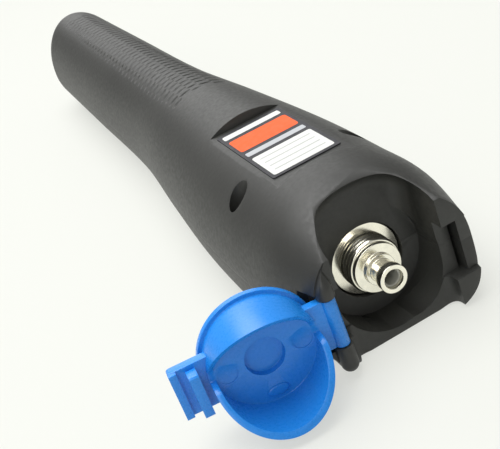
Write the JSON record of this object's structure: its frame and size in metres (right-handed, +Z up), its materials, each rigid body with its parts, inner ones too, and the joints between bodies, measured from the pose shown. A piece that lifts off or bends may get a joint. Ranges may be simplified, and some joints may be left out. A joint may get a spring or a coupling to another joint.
{
  "type": "visual fault locator",
  "caption": "Pen-shaped fibre tester: moulded case with an open nose round a metal ferrule adapter, side-hinged blue dust cap, ribbed grip and tail push button.",
  "frame": {"origin": "on the flat underside, straight below the centre of the adapter flange's front face", "axes": "+Y runs along the body towards the tail, +Z points up from the table, +X is to the right seen from the nose"},
  "size_m": [0.0534, 0.1835, 0.0268],
  "materials": {
    "case_plastic": "fine grained charcoal grey",
    "cap_plastic": "smooth blue, soft gloss",
    "steel": "bright",
    "screw_steel": "blackened",
    "plated_metal": "warm nickel plate, turned",
    "sleeve_ceramic": "polished white",
    "turned_aluminium": "turned",
    "black_aluminium": "black anodised",
    "lens_glass": "polished",
    "gold_plate": "gold plated",
    "board_green": "lacquered",
    "chip_black": "moulded",
    "trimmer_blue": "moulded",
    "can_aluminium": "satin",
    "contact_brass": "rolled sheet",
    "battery_wrap": "printed film over steel",
    "plunger_plastic": "moulded",
    "button_plastic": "soft red",
    "label_film": "printed film"
  },
  "bodies": {
    "case": {"upper_shell": "case_plastic", "lower_shell": "case_plastic", "hinge_pin": "steel", "ferrule_adapter": "plated_metal", "alignment_sleeve": "sleeve_ceramic", "laser_housing": "turned_aluminium", "focusing_lens": "lens_glass", "lens_retainer": "black_aluminium", "laser_diode": "gold_plate", "circuit_board": "board_green", "board_screws": "steel", "driver_chip": "chip_black", "trim_potentiometer": "trimmer_blue", "smoothing_capacitor": "can_aluminium", "front_contact": "contact_brass", "battery_front": "battery_wrap", "battery_rear": "battery_wrap", "tail_spring": "steel", "contact_strip": "contact_brass", "switch_board": "board_green", "tail_switch": "chip_black", "case_screws": "screw_steel", "label_plate": "label_film"},
    "cap": {"dust_cap": "cap_plastic"},
    "door": {"battery_door": "case_plastic"},
    "button": {"power_button": "button_plastic", "switch_plunger": "plunger_plastic"}
  },
  "joints": [
    {"name": "cap_hinge", "type": "hinge", "parent": "case", "child": "cap", "pos_m": [-0.0115, -0.0105, 0.0105], "axis": [0, 0, 1], "range_deg": [0, 187]},
    {"name": "door_slide", "type": "slide", "parent": "case", "child": "door", "axis": [0, 1, 0], "range_m": [0, 0.005]},
    {"name": "power_press", "type": "slide", "parent": "case", "child": "button", "axis": [0, -1, 0], "range_m": [0, 0.0006], "stiffness_N_per_m": 1500, "springref_m": -0.0003}
  ]
}
